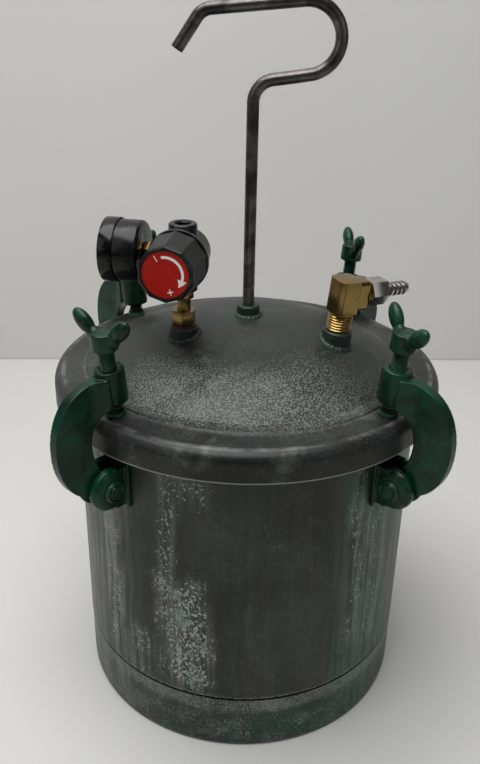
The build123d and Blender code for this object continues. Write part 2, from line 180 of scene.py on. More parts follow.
# azimuth, half width, lowest z, highest z, strength of each speckled streak
tankStreaks = [(-51, 5, 0.052, 0.214, 0.95), (-28, 5, 0.100, 0.228, 0.95), (-29, 4, 0.052, 0.120, 0.75),
               (-20, 9, 0.046, 0.148, 1.15), (-21, 9, 0.200, 0.228, 0.95), (-38, 7, 0.042, 0.096, 0.85),
               (-16, 5, 0.020, 0.058, 0.7), (-34, 14, 0.028, 0.050, 0.75), (2, 3, 0.070, 0.150, 0.5),
               (8, 22, 0.222, 0.230, 0.7), (36, 5, 0.070, 0.226, 0.8), (46, 6, 0.060, 0.200, 0.8),
               (60, 8, 0.045, 0.190, 0.6), (10, 26, 0.002, 0.030, 0.55), (100, 12, 0.05, 0.2, 0.7),
               (150, 9, 0.08, 0.22, 0.9), (-165, 12, 0.05, 0.16, 0.9), (-110, 9, 0.07, 0.21, 0.8),
               (-75, 9, 0.05, 0.16, 0.6)]


def tankPaint():
    # old grey paint with green runs, and streaks where it has chipped to pale specks
    graph = Graph("tankPaint")
    look = tankLook
    x, y, z = graph.axes()
    azimuth = graph.maths("ARCTAN2", x, -y) * (180 / math.pi)
    wander = (graph.noise(13, 3, 0.6) - 0.5) * 20
    density = None
    for middle, half, low, high, strength in tankStreaks:
        side = abs(azimuth + wander - middle)
        mask = (1 - graph.smooth(side, half * 0.2, half * 1.6)) * graph.smooth(z, low - 0.014, low + 0.014)
        mask = mask * (1 - graph.smooth(z, high - 0.014, high + 0.014)) * strength
        density = mask if density is None else graph.maths("MAXIMUM", density, mask)
    chips = graph.noise(520, 2.5, 0.55, stretch=(1, 1, 0.72))
    fine = graph.noise(1150, 2, 0.5)
    patches = graph.noise(60, 4, 0.65)
    level = 0.745 - density * 0.215 - (patches - 0.5) * 0.34
    speck = graph.smooth(chips * 0.72 + fine * 0.28 - level, 0.0, 0.055)
    dusty = graph.smooth(density + (patches - 0.5) * 0.5, 0.25, 1.1)
    runs = graph.noise(40, 4, 0.6, stretch=(1, 1, 0.09), warp=0.3)
    fineRuns = graph.noise(240, 3, 0.6, stretch=(1, 1, 0.06))
    clouds = graph.noise(9, 5, 0.62, warp=0.6)
    colour = graph.blend(graph.smooth(clouds + (fineRuns - 0.5) * 0.35, 0.36, 0.72), look["bare"], look["grey"])
    colour = graph.blend(graph.smooth(runs, 0.44, 0.72) * 0.65, colour, look["green"])
    rust = graph.smooth(graph.noise(26, 3, 0.6, shift=(3, 1, 0)), 0.56, 0.74)
    colour = graph.blend(rust * 0.5, colour, look["rust"])
    rightHaze = graph.smooth(fineRuns + (clouds - 0.5) * 0.4, 0.34, 0.66)
    rightHaze = (1 - graph.smooth(abs(azimuth - 52), 10, 30)) * rightHaze
    leftHaze = graph.smooth(fineRuns + (clouds - 0.5) * 0.3, 0.36, 0.70)
    leftHaze = (1 - graph.smooth(abs(azimuth + 62), 6, 30)) * leftHaze
    colour = graph.blend(rightHaze * 0.60, colour, look["greenChalk"])
    colour = graph.blend(leftHaze * 0.38, colour, look["chalk"])
    colour = graph.blend(dusty * graph.smooth(fineRuns, 0.3, 0.7) * 0.26, colour, look["chalk"])
    foot = 1 - graph.smooth(z, 0.018, 0.046)
    stain = graph.smooth(graph.noise(24, 4, 0.6), 0.38, 0.62)
    colour = graph.blend(foot * stain * 0.9, colour, look["footGreen"])
    band = 1 - graph.smooth(abs(z - 0.040 + (patches - 0.5) * 0.01), 0.003, 0.010)
    worn = graph.smooth(fine + (clouds - 0.5) * 0.5, 0.40, 0.60)
    colour = graph.blend(band * worn * 0.38, colour, look["chalk"])
    dust = graph.smooth(fine + (patches - 0.5) * 0.5 + foot * 0.04, 0.56, 0.72) * (foot * 0.30 + 0.13)
    colour = graph.blend(dust, colour, look["chalk"])
    seam = 1 - graph.smooth(abs(z - 0.0448), 0.0004, 0.0012)
    colour = graph.blend(seam, colour, look["seam"])
    edge = (1 - graph.smooth(abs(z - 0.0462), 0.0002, 0.0009)) * graph.smooth(fine, 0.40, 0.6)
    colour = graph.blend(edge * 0.5, colour, look["chalk"])
    tint = graph.blend(graph.smooth(graph.noise(60, 2), 0.47, 0.6) * 0.5, look["chalk"], look["greenChalk"])
    colour = graph.blend(speck * graph.smooth(fine, 0.22, 0.50), colour, tint)
    rough = 0.44 + speck * 0.35 + (clouds - 0.5) * 0.3 + (fineRuns - 0.5) * 0.25
    raised = graph.bump(speck * 0.5 + fine * 0.3 + runs * 0.4 + chips * 0.3, 0.0004, 0.6)
    return graph.finish(Base_Color=colour, Roughness=rough, Metallic=(1 - speck) * 0.30, Normal=raised,
                        Specular_IOR_Level=0.35)


def lidPaint():
    graph = Graph("lidPaint")
    x, y, z = graph.axes()
    radius = graph.maths("SQRT", x * x + y * y)
    azimuth = graph.maths("ARCTAN2", x, -y) * (180 / math.pi)
    look = {"dark": (0.012, 0.0132, 0.0126), "light": (0.030, 0.0325, 0.031), "hazeAndSheen": (0.17, 0.20, 0.175),
            "green": (0.014, 0.046, 0.031), "worn": (0.42, 0.42, 0.40), "rust": (0.020, 0.016, 0.012)}
    clouds = graph.noise(12, 4, 0.6, warp=0.8)
    smudge = graph.noise(38, 4, 0.65)
    colour = graph.blend(graph.smooth(clouds, 0.35, 0.68), look["dark"], look["light"])
    colour = graph.blend(graph.smooth(smudge, 0.55, 0.75) * 0.30, colour, look["hazeAndSheen"])
    # dusty speckle all over the dome; on the front towards the rim it is paler and thicker, as a painted highlight
    front = 1 - graph.smooth(abs(azimuth + 8), 30, 75)
    ring = graph.smooth(radius, 0.050, 0.085) * (1 - graph.smooth(radius, 0.108, 0.122))
    grit = graph.noise(900, 2, 0.6)
    speck = graph.smooth(grit + (clouds - 0.5) * 0.35 + front * ring * 0.07, 0.52, 0.70)
    colour = graph.blend(speck * (front * ring * 0.62 + 0.14), colour, look["hazeAndSheen"])
    # green round the three bungs
    for node, reach in (("regulator_bung", 0.018), ("outlet_bung", 0.026), ("hook_bung", 0.030)):
        low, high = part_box(node)
        px, py = x - (low[0] + high[0]) / 2, y - (low[1] + high[1]) / 2
        near = graph.maths("SQRT", px * px + py * py)
        around = 1 - graph.smooth(near + (smudge - 0.5) * 0.02, reach * 0.35, reach)
        colour = graph.blend(around * 0.35, colour, look["green"])
    # edges rubbed bright: the skirt's bottom edge, and the rim's shoulder, where the pale band is rubbed paint and
    # also a painted highlight along the rounded edge
    shoulderHighlight = 1 - graph.smooth(abs(radius - 0.1305) + (smudge - 0.5) * 0.002, 0.0006, 0.0024)
    lip = (1 - graph.smooth(z, 0.2329, 0.2336)) * graph.smooth(radius, 0.134, 0.136)
    step = 1 - graph.smooth(abs(radius - 0.1160), 0.0005, 0.0014)
    # worn holds the rubbed lip and the shoulder's pale band with its painted highlight
    worn = graph.maths("MAXIMUM", shoulderHighlight * graph.smooth(smudge, 0.40, 0.68) * 0.35, lip * 0.45)
    colour = graph.blend(step * 0.06, colour, look["worn"])
    colour = graph.blend(worn, colour, look["worn"])
    rust = graph.smooth(graph.noise(30, 3, shift=(2, 5, 1)), 0.62, 0.74)
    colour = graph.blend(rust * 0.35, colour, look["rust"])
    scratches = graph.noise(90, 2, 0.5, stretch=(1, 9, 1), warp=0.4)
    rough = 0.42 + (clouds - 0.5) * 0.25 + speck * 0.2 - worn * 0.12
    raised = graph.bump(scratches * 0.3 + grit * 0.4 + speck * 0.3, 0.00025, 0.35)
    return graph.finish(Base_Color=colour, Roughness=rough, Metallic=0.45 - speck * 0.35, Normal=raised,
                        Specular_IOR_Level=0.38)


def greenPaint():
    graph = Graph("clampPaint")
    look = {"deep": (0.0010, 0.0140, 0.0072), "bright": (0.0026, 0.040, 0.0215), "chalk": (0.085, 0.20, 0.145),
            "bare": (0.024, 0.021, 0.020)}
    blotches = graph.noise(55, 4, 0.6, warp=0.5)
    pits = graph.noise(420, 3, 0.6)
    colour = graph.blend(graph.smooth(blotches, 0.40, 0.68), look["deep"], look["bright"])
    edge = graph.node("NewGeometry", out="Pointiness")
    rubbed = graph.smooth(edge + (pits - 0.5) * 0.05, 0.545, 0.60)
    colour = graph.blend(rubbed * 0.45, colour, look["chalk"])
    chips = graph.smooth(graph.noise(160, 3, 0.6, shift=(1, 2, 3)), 0.66, 0.69)
    colour = graph.blend(chips * 0.8, colour, look["bare"])
    # painted shade: the hollows of the castings are darkened to a deeper green
    hollowShade = 1 - graph.smooth(edge, 0.40, 0.485)
    colour = graph.blend(hollowShade * 0.6, colour, (0.002, 0.010, 0.006))
    rough = 0.30 + rubbed * 0.25 + (blotches - 0.5) * 0.25 + chips * 0.2
    raised = graph.bump(pits * 0.6 + blotches * 0.8 - chips * 0.4, 0.0008, 0.55)
    return graph.finish(Base_Color=colour, Roughness=rough, Normal=raised, Coat_Weight=0.04,
                        Coat_Roughness=0.15, Specular_IOR_Level=0.22)


def wornSteel(name, colour, dark, rough, metallic, grain=(1, 1, 1)):
    graph = Graph(name)
    clouds = graph.noise(70, 4, 0.6)
    fine = graph.noise(900, 2, 0.6, stretch=grain)
    mixed = graph.blend(graph.smooth(clouds, 0.38, 0.66), colour, dark)
    spots = graph.smooth(graph.noise(260, 3, 0.6), 0.60, 0.68)
    mixed = graph.blend(spots * 0.45, mixed, (0.075, 0.048, 0.030))
    raised = graph.bump(fine * 0.7 + clouds * 0.3, 0.00012, 0.4)
    return graph.finish(Base_Color=mixed, Roughness=rough + (clouds - 0.5) * 0.3 + spots * 0.15,
                        Metallic=metallic - spots * 0.4, Normal=raised)


def brassMetal(name, fresh, dull, rough):
    graph = Graph(name)
    clouds = graph.noise(120, 4, 0.6)
    fine = graph.noise(1400, 2, 0.5, stretch=(1, 1, 0.2))
    edge = graph.node("NewGeometry", out="Pointiness")
    dirt = graph.maths("MAXIMUM", 1 - graph.smooth(edge, 0.42, 0.50), graph.smooth(clouds, 0.56, 0.72) * 0.6)
    colour = graph.blend(dirt, fresh, dull)
    raised = graph.bump(fine, 0.00006, 0.5)
    return graph.finish(Base_Color=colour, Roughness=rough + dirt * 0.25, Metallic=1.0, Normal=raised)


def blackPlastic(name, rough, marks):
    graph = Graph(name)
    clouds = graph.noise(90, 3, 0.6)
    colour = graph.blend(graph.smooth(clouds, 0.35, 0.7), (0.0018, 0.0018, 0.0021), (0.0045, 0.0047, 0.0050))
    smear = graph.smooth(graph.noise(75, 3, 0.6, shift=(4, 0, 2), warp=1.0), 0.60, 0.72) * marks
    colour = graph.blend(smear, colour, (0.016, 0.044, 0.034))
    scuffs = graph.smooth(graph.noise(480, 2, 0.6, stretch=(1, 0.3, 1)), 0.64, 0.70) * 0.25
    colour = graph.blend(scuffs, colour, (0.06, 0.06, 0.06))
    raised = graph.bump(graph.noise(1600, 2), 0.00008, 0.4)
    return graph.finish(Base_Color=colour, Roughness=rough + scuffs * 0.4 + (clouds - 0.5) * 0.15,
                        Normal=raised, Specular_IOR_Level=0.25)


def plainFinish(name, colour, other, rough, metallic=0.0, scale=200, depth=0.0001):
    graph = Graph(name)
    clouds = graph.noise(scale, 3, 0.6)
    mixed = graph.blend(graph.smooth(clouds, 0.35, 0.68), colour, other)
    raised = graph.bump(clouds, depth, 0.4)
    return graph.finish(Base_Color=mixed, Roughness=rough + (clouds - 0.5) * 0.2, Metallic=metallic,
                        Normal=raised)


def knobLabel():
    # generic marks on the red disc: a minus, a plus and an arrow between them
    graph = Graph("knobLabel")
    axis = Vector(joints["knob_turn"]["axis"])
    centre = Vector(joints["knob_turn"]["pos_m"])
    right = axis.cross(Vector((0, 0, 1))).normalized()
    across = (graph.dot(right) - centre.dot(right)) * 1000
    up = (graph.dot((0, 0, 1)) - centre.z) * 1000
    radius = graph.maths("SQRT", across * across + up * up)
    clock = graph.maths("ARCTAN2", across, up) * (180 / math.pi)  # clockwise from the top
    arc = (1 - graph.smooth(abs(radius - 11.0), 0.75, 0.95))
    arc = arc * graph.smooth(clock, -13, -11) * (1 - graph.smooth(clock, 106, 108))
    # arrowhead that narrows towards its tip
    head = 1 - graph.smooth(abs(radius - 11.0) - (132 - clock) * 0.11, 0.0, 0.2)
    head = head * graph.smooth(clock, 105, 107) * (1 - graph.smooth(clock, 131, 133))
    marks = graph.maths("MAXIMUM", arc, head)
    minusAt, plusAt = math.radians(-31), math.radians(164)
    for angle, long, wide, cross in ((minusAt, 2.1, 0.26, False), (plusAt, 1.9, 0.34, True)):
        out = across * math.sin(angle) + up * math.cos(angle) - 11.4
        side = across * math.cos(angle) - up * math.sin(angle)
        for along, aside in ((out, side), (side, out))[:2 if cross else 1]:
            bar = 1 - graph.smooth(abs(along), long - 0.1, long + 0.1)
            bar = bar * (1 - graph.smooth(abs(aside), wide - 0.1, wide + 0.1))
            marks = graph.maths("MAXIMUM", marks, bar)
    wear = graph.noise(420, 3, 0.6)
    colour = graph.blend(graph.smooth(wear, 0.35, 0.7), (0.40, 0.008, 0.004), (0.30, 0.006, 0.003))
    colour = graph.blend(marks * graph.smooth(wear, 0.25, 0.36), colour, (0.80, 0.76, 0.72))
    return graph.finish(Base_Color=colour, Roughness=0.32 + (wear - 0.5) * 0.2,
                        Normal=graph.bump(marks, 0.00005), Specular_IOR_Level=0.2)


def clearLens():
    graph = Graph("lens")
    smear = graph.noise(60, 3)
    return graph.finish(Base_Color=(0.96, 0.98, 0.98), Roughness=0.04 + smear * 0.06, Transmission_Weight=1.0,
                        IOR=1.49)


looks = {
    "tank_paint": tankPaint(),
    "lid_paint": lidPaint(),
    "clamp_paint": greenPaint(),
    "steel": wornSteel("steel", (0.40, 0.40, 0.39), (0.20, 0.20, 0.19), 0.38, 0.9),
    "rod_steel": wornSteel("rodSteel", (0.115, 0.107, 0.100), (0.036, 0.033, 0.030), 0.30, 0.85),
    "brass": brassMetal("brass", (0.27, 0.18, 0.062), (0.055, 0.034, 0.011), 0.24),
    "nickel": brassMetal("nickel", (0.44, 0.42, 0.39), (0.15, 0.135, 0.115), 0.24),
    "gasket_rubber": plainFinish("gasketRubber", (0.012, 0.012, 0.012), (0.03, 0.03, 0.028), 0.7),
    "fibre_seal": plainFinish("fibreSeal", (0.085, 0.012, 0.008), (0.045, 0.010, 0.008), 0.5, scale=400),
    "black_plastic": blackPlastic("blackPlastic", 0.24, 0.3),
    "bezel_plastic": blackPlastic("bezelPlastic", 0.14, 0.1),
    "knob_plastic": blackPlastic("knobPlastic", 0.36, 0.8),
    "red_plastic": knobLabel(),
    "dial_face": plainFinish("dialFace", (0.80, 0.80, 0.77), (0.72, 0.72, 0.68), 0.5),
    "pointer_paint": plainFinish("pointerPaint", (0.012, 0.012, 0.012), (0.02, 0.02, 0.02), 0.4),
    "spring_steel": plainFinish("springSteel", (0.45, 0.45, 0.45), (0.32, 0.32, 0.32), 0.3, 0.95),
    "lens": clearLens(),
}


# modelling

def axisFrame(origin, up, side):
    # local z along up and local x towards side, in millimetres
    up, side = Vector(up).normalized(), Vector(side)
    side = (side - up * side.dot(up)).normalized()
    turned = Matrix((side, up.cross(side), up)).transposed().to_4x4()
    return Matrix.Translation(origin) @ turned @ Matrix.Scale(mm, 4)


def tidy(bm):
    bmesh.ops.remove_doubles(bm, verts=bm.verts, dist=0.002)
    bmesh.ops.recalc_face_normals(bm, faces=bm.faces)


def makePiece(name, bm, where, body, slot, nodes=(), angle=32, voxel=0, relax=0):
    tidy(bm)
    bmesh.ops.transform(bm, matrix=where, verts=bm.verts)
    mesh = bpy.data.meshes.new(name)
    bm.to_mesh(mesh)
    bm.free()
    piece = bpy.data.objects.new(name, mesh)
    bpy.context.scene.collection.objects.link(piece)
    if voxel:
        piece.data = remeshed(piece, voxel, relax)
    piece.data.shade_smooth()
    piece.data.set_sharp_from_angle(angle=math.radians(angle))
    piece.data.materials.append(looks[slot])
    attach(piece, body)
    if nodes:
        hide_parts(*nodes)
    return piece


def evaluated(piece):
    # the piece's mesh with its modifiers applied
    graph = bpy.context.evaluated_depsgraph_get()
    mesh = bpy.data.meshes.new_from_object(piece.evaluated_get(graph))
    mesh.name = piece.name
    piece.modifiers.clear()
    return mesh


def remeshed(piece, voxel, relax):
    # joins overlapping shapes into one skin, as a casting is
    remesh = piece.modifiers.new("skin", "REMESH")
    remesh.mode = "VOXEL"
    remesh.voxel_size = voxel * mm
    soften = piece.modifiers.new("soften", "SMOOTH")
    soften.iterations = relax
    soften.factor = 0.5
    return evaluated(piece)


def turned(bm, profile, steps=96, closed=False, rise=0, turns=1):
    # spins (radius, height) points about local z; rise is the climb in one turn
    points = [bm.verts.new((radius, 0, height)) for radius, height in profile]
    edges = [bm.edges.new(pair) for pair in zip(points, points[1:])]
    if closed:
        edges.append(bm.edges.new((points[-1], points[0])))
    bmesh.ops.spin(bm, geom=points + edges, cent=(0, 0, 0), axis=(0, 0, 1), dvec=(0, 0, rise / steps),
                   angle=math.tau * turns, steps=round(steps * turns), use_merge=not rise)


def bevelSharp(bm, width, segments, sharp, pick=None):
    # rounds the edges that turn by more than `sharp` degrees
    edges = [edge for edge in bm.edges if len(edge.link_faces) == 2
             and edge.calc_face_angle(0) > math.radians(sharp) and (pick is None or pick(edge))]
    bmesh.ops.bevel(bm, geom=edges, offset=width, offset_type="OFFSET", segments=segments, profile=0.5,
                    affect="EDGES", material=-1, clamp_overlap=True)


def thread(bm, radius, depth, pitch, low, high, steps=32):
    # a climbing V thread, with its ends closed
    before = set(bm.verts)
    profile = [(radius - depth, low), (radius, low + pitch * 0.45), (radius, low + pitch * 0.55),
               (radius - depth, low + pitch)]
    turned(bm, profile, steps, rise=pitch, turns=(high - low) / pitch - 1)
    fresh = [vert for vert in bm.verts if vert not in before]
    bmesh.ops.remove_doubles(bm, verts=fresh, dist=0.004)
    fresh = [vert for vert in bm.verts if vert not in before]
    ends = [edge for edge in bm.edges if edge.verts[0] in set(fresh) and edge.is_boundary]
    bmesh.ops.holes_fill(bm, edges=ends, sides=0)


def prism(bm, sides, radius, low, high):
    # a closed bar along local z; radius to the corners
    bmesh.ops.create_cone(bm, cap_ends=True, cap_tris=False, segments=sides, radius1=radius, radius2=radius,
                          depth=high - low, matrix=Matrix.Translation((0, 0, (low + high) / 2)))


def block(bm, low, high, where=None):
    low, high = Vector(low), Vector(high)
    shape = Matrix.Translation((low + high) / 2) @ Matrix.Diagonal((*(high - low), 1))
    bmesh.ops.create_cube(bm, size=1, matrix=(where or Matrix()) @ shape)


def ball(bm, centre, radii, lean):
    # an egg with its own three radii, leaning about local y
    shape = (Matrix.Translation(centre) @ Matrix.Rotation(math.radians(lean), 4, "Y")
             @ Matrix.Diagonal((*radii, 1)))
    bmesh.ops.create_uvsphere(bm, u_segments=32, v_segments=20, radius=1, matrix=shape)


def paintNode(node, slot):
    holder = frame["nodes"][node]
    for place in holder.material_slots:
        place.material = looks[slot]


for row in record["subparts"]:
    paintNode(row["node"], row["material_slot"])
print("frame painted")


def curvedPlate(bm, outer, inner, thick):
    # a flat strip between two curves, smoothed, then given its thickness
    flat = bmesh.new()
    line = flat.edges.new([flat.verts.new((*point, 0)) for point in (outer[0], inner[0])])
    for was, now, partner in zip(outer, outer[1:], inner[1:]):
        grown = bmesh.ops.extrude_edge_only(flat, edges=[line])["geom"]
        line = next(part for part in grown if isinstance(part, bmesh.types.BMEdge))
        ends = sorted(line.verts, key=lambda vert: (vert.co.xy - Vector(was)).length)
        ends[0].co, ends[1].co = (*now, 0), (*partner, 0)
    strip = bpy.data.objects.new("strip", bpy.data.meshes.new("strip"))
    flat.to_mesh(strip.data)
    flat.free()
    bpy.context.scene.collection.objects.link(strip)
    rounding = strip.modifiers.new("rounding", "SUBSURF")
    rounding.levels = rounding.render_levels = 2
    rounding.boundary_smooth = "PRESERVE_CORNERS"
    plate = bmesh.new()
    plate.from_mesh(evaluated(strip))
    bpy.data.objects.remove(strip)
    bmesh.ops.translate(plate, vec=(0, 0, -thick / 2), verts=plate.verts)
    grown = bmesh.ops.extrude_face_region(plate, geom=plate.faces[:])["geom"]
    bmesh.ops.translate(plate, vec=(0, 0, thick), verts=[p for p in grown if isinstance(p, bmesh.types.BMVert)])
    bmesh.ops.recalc_face_normals(plate, faces=plate.faces)
    mesh = bpy.data.meshes.new("plate")
    plate.to_mesh(mesh)
    plate.free()
    bm.from_mesh(mesh)
    bpy.data.meshes.remove(mesh)


def softened(node, body, width, segments=2):
    # a copy of a CAD node with its edges rounded as the real part's are
    bm = bmesh.new()
    bm.from_mesh(frame["nodes"][node].data)
    bmesh.ops.scale(bm, vec=(1000, 1000, 1000), verts=bm.verts)
    bmesh.ops.remove_doubles(bm, verts=bm.verts, dist=0.004)
    bmesh.ops.dissolve_limit(bm, angle_limit=math.radians(0.6), verts=bm.verts, edges=bm.edges)
    bevelSharp(bm, width, segments, 28)
    row = next(row for row in record["subparts"] if row["node"] == node)
    makePiece(node + "_part", bm, Matrix.Scale(mm, 4), body, row["material_slot"], (node,), angle=30)


# the C-clamps; outlines are (distance from the pot's axis, height)

armShape = {
    "outer": [(132.4, 281.6), (142, 281.4), (151.4, 278.6), (159.8, 272.8), (166.0, 263.8), (169.4, 252),
              (170.0, 240), (168.2, 227.6), (163.4, 216.2), (155.2, 207), (142.6, 201.2)],
    "inner": [(129.8, 263.2), (132.8, 261.0), (136.6, 257.6), (139.6, 254.2), (141.8, 250), (143.2, 245),
              (143.8, 239.6), (143.2, 233.4), (141.6, 227.6), (139.2, 221.6), (136.0, 215.2)],
    "thick": 7.2, "haunch": (144.0, 12.0, 1.5),  # plate widens inside this radius, over this run, by this share
    "eye": 9.5, "eyeHole": 4.15, "eyeThick": 8.0,
    "boss": 9.8, "bossHole": 5.4, "bossLow": 9.5, "bossHigh": 33.0,
}
wingShape = {"hub": 8.4, "low": 45.0, "high": 57.5, "screw": 5.0, "pitch": 1.5, "shankLow": 4.9,
             "ear": (14.9, 0, 60.6), "earSize": (5.5, 4.3, 9.8), "lean": 47.0,
             "root": (7.4, 0, 53.4), "rootSize": (5.4, 4.2, 5.6)}
wingTurns = {"front_left": 96, "front_right": -29, "rear_right": 49, "rear_left": 35}
bracketShape = {"ear": 14.9, "innerFace": 4.3, "outerFace": 11.3, "base": 2.4, "hole": 4.1, "reach": 16.8,
                "halfWide": 12.6}
pinShape = {"shank": 3.97, "head": 7.2, "face": 11.33, "high": 2.9, "groove": 5.0}
tankWall = 122.5


def ring(bm, inner, outer, low, high, corner=0.8):
    # a bush with both outer corners cut
    turned(bm, [(inner, low), (outer - corner, low), (outer, low + corner), (outer, high - corner),
                (outer - corner, high), (inner, high)], 64, closed=True)


def moved(bm, before, matrix):
    # carries what was added since `before` to its place
    bmesh.ops.transform(bm, matrix=matrix, verts=[vert for vert in bm.verts if vert not in before])


def clampFrames(place):
    # upright: x outwards, y up, z across, from the pot's axis; then the pin's and the screw's places
    swing, screwJoint = joints["clamp_swing_" + place], joints["wing_screw_turn_" + place]
    pivot, press = Vector(swing["pos_m"]), Vector(screwJoint["pos_m"])
    up = Vector(screwJoint["axis"])
    outward = Vector((pivot.x, pivot.y, 0)).normalized()
    across = outward.cross(Vector((0, 0, 1)))
    upright = axisFrame((0, 0, 0), across, outward)
    return upright, (pivot.xy.length / mm, pivot.z / mm, 0), axisFrame(press, up, outward)


def makeArm(place, upright, pivot, pressFrame):
    arm = armShape
    bm = bmesh.new()
    curvedPlate(bm, arm["outer"], arm["inner"], arm["thick"])
    start, reach, share = arm["haunch"]
    for vert in bm.verts:
        near = min(max((start - vert.co.x) / reach, 0), 1)
        vert.co.z *= 1 + share * near * near * (1 if vert.co.y > 245 else 0)
    before = set(bm.verts)
    ring(bm, arm["eyeHole"], arm["eye"], -arm["eyeThick"] / 2, arm["eyeThick"] / 2)
    moved(bm, before, Matrix.Translation(pivot))
    before = set(bm.verts)
    ring(bm, arm["bossHole"], arm["boss"], arm["bossLow"], arm["bossHigh"], 0.9)
    moved(bm, before, upright.inverted() @ pressFrame)
    makePiece("arm_casting_" + place, bm, upright, "arm_" + place, "clamp_paint", ("clamp_arm_" + place,),
              voxel=0.55, relax=7, angle=180)


def makeWingScrew(place, pressFrame):
    wing = wingShape
    bm = bmesh.new()
    turned(bm, [(0, wing["low"]), (wing["hub"] - 0.9, wing["low"]), (wing["hub"], wing["low"] + 1.0),
                (wing["hub"] - 0.3, wing["high"] - 0.5), (wing["hub"] - 1.0, wing["high"]),
                (0, wing["high"])], 64)
    for side in (1, -1):
        for centre, size in (("ear", "earSize"), ("root", "rootSize")):
            x, y, z = wing[centre]
            ball(bm, (x * side, y, z), wing[size], wing["lean"] * side)
    spin = Matrix.Rotation(math.radians(wingTurns[place]), 4, "Z")
    makePiece("wing_nut_" + place, bm, pressFrame @ spin, "screw_" + place, "clamp_paint",
              ("wing_screw_" + place,), voxel=0.5, relax=5, angle=180)

    bm = bmesh.new()
    core, low, high = wing["screw"] - 0.9, wing["shankLow"], wing["low"] + 1
    turned(bm, [(0, low), (core, low), (core, high), (0, high)], 32)
    thread(bm, wing["screw"], 0.95, wing["pitch"], wing["shankLow"], wing["low"] + 0.5)
    prism(bm, 32, 2.95, 1.9, wing["shankLow"] + 0.2)
    makePiece("clamp_screw_" + place, bm, pressFrame, "screw_" + place, "clamp_paint", angle=35)


def makeBracket(place, upright, pivot):
    shape = bracketShape
    away, high = pivot[:2]
    half = shape["ear"] - 0.6
    bm = bmesh.new()
    for side in (1, -1):
        before = set(bm.verts)
        turned(bm, [(shape["hole"], shape["innerFace"]), (shape["ear"] - 0.4, shape["innerFace"]),
                    (shape["ear"], shape["innerFace"] + 0.8), (shape["ear"] - 0.5, shape["outerFace"] - 3.0),
                    (shape["ear"] - 3.2, shape["outerFace"] - 0.6), (shape["ear"] - 6.5, shape["outerFace"]),
                    (shape["hole"], shape["outerFace"])], 64, closed=True)
        if side < 0:
            moved(bm, before, Matrix.Diagonal((1, 1, -1, 1)))
        moved(bm, before, Matrix.Translation(pivot))
        near, far = sorted((side * shape["innerFace"], side * (shape["outerFace"] - 0.8)))
        block(bm, (tankWall - 1.0, high - half, near), (away - 2.0, high + half, far))
    block(bm, (tankWall - 0.5, high - shape["reach"], -shape["halfWide"]),
          (tankWall + shape["base"], high + shape["reach"], shape["halfWide"]))
    makePiece("bracket_casting_" + place, bm, upright, "tank", "clamp_paint", ("bracket_" + place,),
              voxel=0.6, relax=6, angle=180)


def makePin(place, upright, pivot):
    pin = pinShape
    bm = bmesh.new()
    face, top = pin["face"], pin["face"] + pin["high"]
    half = [(pin["shank"], face), (pin["head"] - 0.3, face), (pin["head"], face + 0.5),
            (pin["head"] - 0.5, face + 1.5), (pin["groove"] + 0.9, top - 0.5), (pin["groove"] + 0.4, top - 0.9),
            (pin["groove"], top - 0.9), (pin["groove"] - 0.4, top - 0.2), (2.2, top), (0, top)]
    turned(bm, [(r, -z) for r, z in reversed(half)] + half, 48)
    makePiece("pin_" + place, bm, upright @ Matrix.Translation(pivot), "tank", "clamp_paint",
              ("pivot_pin_" + place,), angle=40)


for place in places:
    upright, pivot, pressFrame = clampFrames(place)
    makeArm(place, upright, pivot, pressFrame)
    makeWingScrew(place, pressFrame)
    makeBracket(place, upright, pivot)
    makePin(place, upright, pivot)
print("clamps made")


# regulator, knob and gauge

knobAxis = -Vector(joints["knob_turn"]["axis"])
gaugeAxis = -Vector(joints["gauge_pointer_turn"]["axis"])
hubPoint = Vector(joints["knob_turn"]["pos_m"])
gaugeFrame = axisFrame(hubPoint, gaugeAxis, (0, 0, 1))
upFrame = axisFrame((hubPoint.x, hubPoint.y, 0), (0, 0, 1), knobAxis)

for node, width in (("regulator_body", 0.9), ("bonnet", 0.7), ("union_nut", 0.5), ("gauge_case", 0.9),
                    ("gauge_bezel", 0.8), ("inlet_nipple", 0.25), ("gauge_stem", 0.3)):
    softened(node, "lid", width)

portShape = {"outer": 9.3, "root": 5.85, "depth": 0.7, "pitch": 1.34, "long": 11}


def makePort():
    # rings inside the supply port that stand for its thread
    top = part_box("regulator_body")[1][2] / mm
    bm = bmesh.new()
    pitch, low = portShape["pitch"], top - portShape["long"]
    for turn in range(int(portShape["long"] / pitch)):
        z = low + turn * pitch
        turned(bm, [(portShape["root"] + 0.3, z), (portShape["root"] - portShape["depth"], z + pitch * 0.5),
                    (portShape["root"] + 0.3, z + pitch * 0.98)], 48, closed=True)
    makePiece("port_thread", bm, upFrame, "lid", "black_plastic", angle=30)


makePort()

dialShape = {"front": 52.0, "sunk": 7.2, "radius": 17.2, "major": (3.2, 0.42), "minor": (1.9, 0.24),
             "numbers": 12.0, "size": 3.4, "top": 120, "sweep": 270, "ticks": 24}


